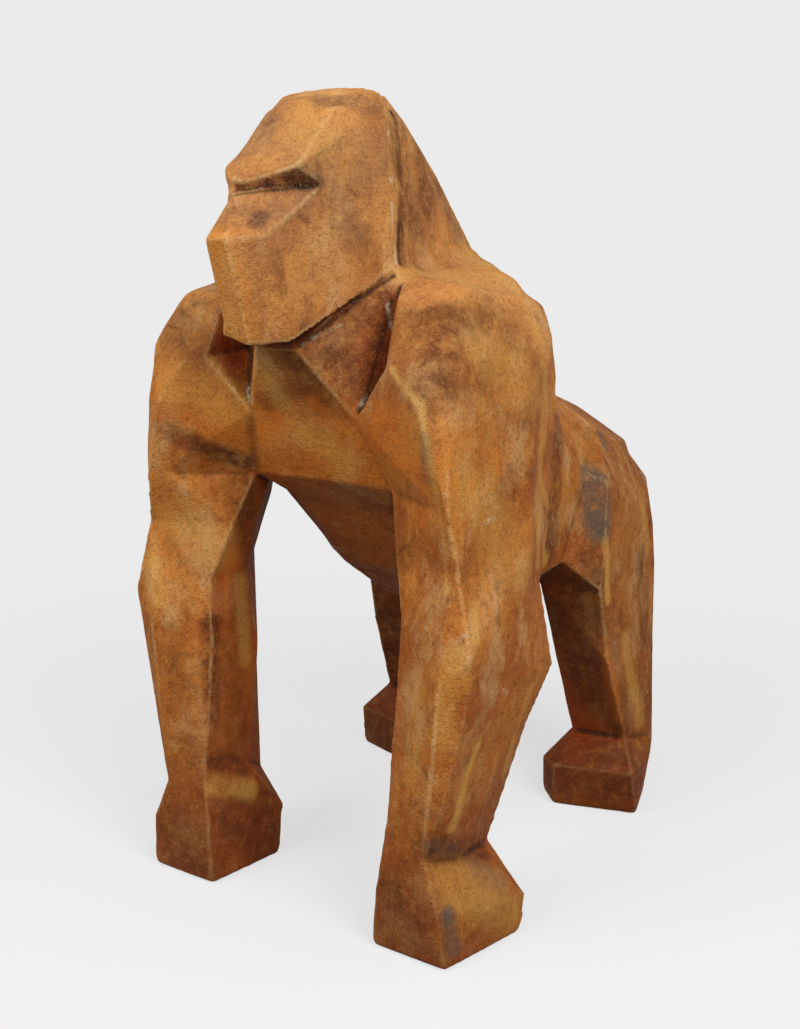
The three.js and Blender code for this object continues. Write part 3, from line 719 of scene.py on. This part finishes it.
# %% Cut the skin into castings
SHOULDER, WRIST, HIP, ANKLE = 0.345, 0.108, 0.222, 0.072
WAIST, FACE_BACK = 0.0175, -0.1455
ROOM, ABOVE = 0.6, 1.0
ARM_CUT = [(0.010, -0.2425), (0.199, 0.0475), (0.260, 0.0475), (0.260, -0.2425)]
LEG_CUT = [(0.047, 0.0555), (0.260, 0.0555), (0.260, 0.3075), (0.047, 0.3075)]
JAW = [(-0.320, 0.4077), (FACE_BACK, 0.5077)]
NECK = [(FACE_BACK, 0.5105), (-0.005, 0.5237)]
FACE_SIDE = [(0.024, -0.2525), (0.062, FACE_BACK)]
JAW_HALF, NECK_HALF = 0.010, 0.064
BARE_NORMAL = 0.5


def prism(name, outline, low, high):
    """A block over an outline, from low, which is one height or one for each corner, up to high."""
    count = len(outline)
    lows = low if isinstance(low, list) else [low] * count
    corners = [(x, y, z) for (x, y), z in zip(outline, lows)] + [(x, y, high) for x, y in outline]
    sides = [(i, (i + 1) % count, count + (i + 1) % count, count + i) for i in range(count)]
    mesh = bpy.data.meshes.new(name)
    mesh.from_pydata(corners, [], [tuple(reversed(range(count))), tuple(range(count, 2 * count)), *sides])
    work = bmesh.new()
    work.from_mesh(mesh)
    bmesh.ops.recalc_face_normals(work, faces=work.faces)
    work.to_mesh(mesh)
    work.free()
    return linked(name, mesh)


def turned(outline, sign):
    """An outline on the left, or with -1 its mirror image on the right."""
    return [(sign * x, y) for x, y in outline]


def cut(name, source, blocks, operation):
    """A copy of a piece that keeps to one block, or is freed from several."""
    made = linked(name, source.data.copy())
    for block in blocks:
        step = made.modifiers.new("cut", "BOOLEAN")
        step.operation = operation
        step.solver = "MANIFOLD"
        step.object = block
    return settled(made)


skin.data.attributes.new("skin_normal", "FLOAT_VECTOR", "POINT").data.foreach_set("vector", normals.ravel())
front_outline = [(-ROOM, -ROOM), (ROOM, -ROOM), (ROOM, WAIST), (-ROOM, WAIST)]
blocks = {"front": prism("front", front_outline, -ROOM, ABOVE)}
(jaw_y, jaw_z), (rim_y, rim_z) = JAW
slope = (rim_z - jaw_z) / (rim_y - jaw_y)
face_half = [(JAW_HALF, jaw_y), *FACE_SIDE]
face_outline = face_half + turned(reversed(face_half), -1)
face_lows = [jaw_z + slope * (y - jaw_y) for _, y in face_outline]
blocks["face"] = prism("face_block", face_outline, face_lows, ABOVE)
(front_y, front_z), (back_y, back_z) = NECK
neck_outline = [(-NECK_HALF, front_y), (NECK_HALF, front_y), (NECK_HALF, back_y), (-NECK_HALF, back_y)]
blocks["hood"] = prism("hood_block", neck_outline, [front_z, front_z, back_z, back_z], ABOVE)
for side, sign in zip(SIDES, (1, -1)):
    arm, leg = turned(ARM_CUT, sign), turned(LEG_CUT, sign)
    blocks[f"{side}_whole_arm"] = prism(f"{side}_whole_arm", arm, -ROOM, SHOULDER)
    blocks[f"{side}_arm"] = prism(f"{side}_arm_block", arm, WRIST, SHOULDER)
    blocks[f"{side}_fist"] = prism(f"{side}_fist_block", arm, -ROOM, WRIST)
    blocks[f"{side}_whole_leg"] = prism(f"{side}_whole_leg", leg, -ROOM, HIP)
    blocks[f"{side}_leg"] = prism(f"{side}_leg_block", leg, ANKLE, HIP)
    blocks[f"{side}_foot"] = prism(f"{side}_foot_block", leg, -ROOM, ANKLE)

front_half = cut("front_half", skin, [blocks["front"]], "INTERSECT")
back_half = cut("back_half", skin, [blocks["front"]], "DIFFERENCE")
whole_arms = [blocks[f"{side}_whole_arm"] for side in SIDES]
whole_legs = [blocks[f"{side}_whole_leg"] for side in SIDES]
castings = {
    "chest": cut("cast_chest", front_half, [blocks["face"], blocks["hood"], *whole_arms], "DIFFERENCE"),
    "rump": cut("cast_rump", back_half, whole_legs, "DIFFERENCE"),
}
for name in CASTINGS:
    if name in blocks:
        source = back_half if name.endswith(("leg", "foot")) else front_half
        castings[name] = cut(f"cast_{name}", source, [blocks[name]], "INTERSECT")
for helper in [front_half, back_half, *blocks.values()]:
    bpy.data.objects.remove(helper)


def heal(mesh):
    """Points that a cut made take what the nearest point of the skin carries."""
    carried = vectors(mesh.attributes["skin_normal"].data, "vector")
    bare = np.flatnonzero(np.linalg.norm(carried, axis=1) < BARE_NORMAL)
    near = [skin_points.find(mesh.vertices[i].co)[1] for i in bare]
    carried[bare] = normals[near]
    mesh.attributes["skin_normal"].data.foreach_set("vector", carried.ravel())
    for name, values in marks.items():
        own = np.empty(len(mesh.vertices), np.float32)
        mesh.attributes[name].data.foreach_get("value", own)
        own[bare] = values[near]
        mesh.attributes[name].data.foreach_set("value", own)
    return len(bare)


skin_points = KDTree(len(points))
for number, place in enumerate(points):
    skin_points.insert(place, number)
skin_points.balance()
for name, piece in castings.items():
    healed = heal(piece.data)
    triangles = sum(len(face.vertices) - 2 for face in piece.data.polygons)
    print(name, "has", triangles, "triangles and", healed, "points on its cuts")

# %% [markdown]
# A cut through a smooth skin would show as a faint line, because each half bends its normals at the rim.
# So every face that belongs to the old skin takes the skin's own normals, and the new flat faces inside
# the joints keep their own. Then each casting takes the place of its solid in the frame.

# %% Finish the castings
CUT_FACE = 0.6


def dress(piece):
    """Gives a casting the skin's normals on the outside, and the rust coat."""
    mesh = piece.data
    own = np.empty(len(mesh.polygons) * 3, np.float32)
    mesh.polygons.foreach_get("normal", own)
    own = own.reshape(-1, 3)
    old = vectors(mesh.attributes["skin_normal"].data, "vector")
    old /= np.linalg.norm(old, axis=1)[:, None]
    corners = np.empty(len(mesh.loops), np.int32)
    mesh.loops.foreach_get("vertex_index", corners)
    sizes = np.empty(len(mesh.polygons), np.int32)
    mesh.polygons.foreach_get("loop_total", sizes)
    owner = np.repeat(np.arange(len(sizes)), sizes)
    outside = (old[corners] * own[owner]).sum(1) > CUT_FACE
    mesh.shade_smooth()
    mesh.normals_split_custom_set(np.where(outside[:, None], old[corners], own[owner]).tolist())
    mesh.attributes.remove(mesh.attributes["skin_normal"])
    mesh.materials.clear()
    mesh.materials.append(RUST_COAT)


bpy.data.objects.remove(skin)
for name, piece in castings.items():
    dress(piece)
    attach(piece, "root")
    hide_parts(name)
    print(piece.name, "stands for", name)

# %% [markdown]
# Inside, the mortar over the joints, the grout in the fists and feet and the steel bars keep the solid
# model's shapes. They are out of sight, but someone who takes the figure apart finds them finished.

# %% Mortar and steel


def mortar():
    """Pale, sandy and rough mortar."""
    finish = Finish("mortar")
    lumps = finish.noise(0.012, 5, 0.65)
    sand = finish.noise(0.0018, 3, 0.6)
    look = finish.over(colour(150, 143, 132), colour(190, 184, 172), finish.step(lumps, 0.35, 0.65))
    look = finish.over(look, colour(120, 112, 100), finish.step(sand, 0.55, 0.75, 0.6))
    finish.tree.links.new(look, finish.shader.inputs["Base Color"])
    finish.tree.links.new(finish.step(sand, 0.3, 0.7, 0.98, 0.85), finish.shader.inputs["Roughness"])
    finish.tree.links.new(finish.bump(sand, 0.0008, 0.6), finish.shader.inputs["Normal"])
    return finish.material


def steel():
    """Dark rolled steel with a little rust."""
    finish = Finish("steel")
    scale = finish.noise(0.015, 5, 0.65)
    rolled = finish.noise(0.004, 4, 0.6)
    look = finish.over(colour(98, 100, 102), colour(66, 66, 68), finish.step(scale, 0.4, 0.6))
    look = finish.over(look, colour(122, 74, 44), finish.step(rolled, 0.58, 0.75, 0.6))
    finish.tree.links.new(look, finish.shader.inputs["Base Color"])
    finish.tree.links.new(finish.step(scale, 0.3, 0.7, 0.7, 0.45), finish.shader.inputs["Roughness"])
    finish.shader.inputs["Metallic"].default_value = 0.9
    return finish.material


INNER_FINISHES = {"mortar": mortar(), "steel": steel()}
for subpart in frame["record"]["subparts"]:
    if subpart["material_slot"] in INNER_FINISHES:
        mesh = frame["nodes"][subpart["node"]].data
        mesh.materials.clear()
        mesh.materials.append(INNER_FINISHES[subpart["material_slot"]])
print("inner finishes", sorted(INNER_FINISHES))

# %% [markdown]
# The sculpture stands on a seamless pale sweep. The sweep is turned to face the camera and curves up far
# behind the figure, so that no horizon shows. Two soft lamps, one at the figure's left and one in front,
# and a pale sky light it.

# %% Sweep and light
SWEEP_WIDTH, SWEEP_FRONT, SWEEP_BACK, SWEEP_BEND, SWEEP_TOP = 9.0, -3.5, 2.2, 1.4, 5.0
BEND_STEPS = 24
PAPER = colour(238, 238, 238)
PAPER_SHADE = colour(50, 50, 50)
PAPER_GLOW = colour(235, 235, 235)
SHADOW_FROM, SHADOW_TO = 0.3, 1.3
NEAR_GLOW = 0.75
SKY_STRENGTH = 0.6
LAMP_SIZE = 1.3
LAMP_AIM = Vector((0, 0, 0.3))

profile = [(SWEEP_FRONT, 0.0)]
for k in range(BEND_STEPS + 1):
    angle = math.pi / 2 * k / BEND_STEPS
    profile.append((SWEEP_BACK + SWEEP_BEND * math.sin(angle), SWEEP_BEND * (1 - math.cos(angle))))
profile.append((SWEEP_BACK + SWEEP_BEND, SWEEP_TOP))
rows = [(x, y, z) for y, z in profile for x in (-SWEEP_WIDTH / 2, SWEEP_WIDTH / 2)]
faces = [(2 * i, 2 * i + 1, 2 * i + 3, 2 * i + 2) for i in range(len(profile) - 1)]
sweep_mesh = bpy.data.meshes.new("sweep")
sweep_mesh.from_pydata(rows, [], faces)
sweep_mesh.transform(Matrix.Rotation(CAMERA_TURN, 4, "Z"))
sweep_mesh.shade_smooth()
sweep = linked("sweep", sweep_mesh)


def backdrop_paper():
    """Paper that shows pale with a light shadow near the figure, and throws little light back up at it."""
    paper = Finish("paper")
    links = paper.tree.links
    rays = paper.put("ShaderNodeLightPath", -7)
    seen_ray = paper.math("MAXIMUM", rays.outputs["Is Camera Ray"], rays.outputs["Is Glossy Ray"])
    seen_ray = paper.math("MAXIMUM", seen_ray, rays.outputs["Is Transmission Ray"])
    links.new(paper.over(PAPER_SHADE, PAPER, seen_ray), paper.shader.inputs["Base Color"])
    paper.shader.inputs["Roughness"].default_value = 0.9
    paper.shader.inputs["Specular IOR Level"].default_value = 0.1
    reach = paper.put("ShaderNodeVectorMath", -7, operation="LENGTH")
    links.new(paper.place, reach.inputs[0])
    glow = paper.put("ShaderNodeEmission", -1)
    glow.inputs["Color"].default_value = PAPER_GLOW
    mix = paper.put("ShaderNodeMixShader", 0)
    share = paper.step(reach.outputs["Value"], SHADOW_FROM, SHADOW_TO, 1.0, NEAR_GLOW)
    links.new(paper.math("MULTIPLY", seen_ray, share), mix.inputs[0])
    links.new(paper.shader.outputs[0], mix.inputs[1])
    links.new(glow.outputs[0], mix.inputs[2])
    links.new(mix.outputs[0], paper.tree.nodes["Material Output"].inputs["Surface"])
    return paper.material


sweep_mesh.materials.append(backdrop_paper())

world = bpy.data.worlds.new("studio")
world.use_nodes = True
world.node_tree.nodes["Background"].inputs["Color"].default_value = (1, 1, 1, 1)
world.node_tree.nodes["Background"].inputs["Strength"].default_value = SKY_STRENGTH
scene.world = world


def soft_lamp(name, place, power):
    """A square lamp at a place, aimed at the figure."""
    data = bpy.data.lights.new(name, "AREA")
    data.shape = "SQUARE"
    data.size = LAMP_SIZE
    data.energy = power
    lamp = bpy.data.objects.new(name, data)
    lamp.location = place
    lamp.rotation_euler = (LAMP_AIM - Vector(place)).to_track_quat("-Z", "Y").to_euler()
    scene.collection.objects.link(lamp)


soft_lamp("at its left", (1.8, -0.8, 1.7), 42)
soft_lamp("in front", (-0.6, -2.0, 1.7), 31)
scene.view_settings.view_transform = "Standard"
print("sweep and light are set")
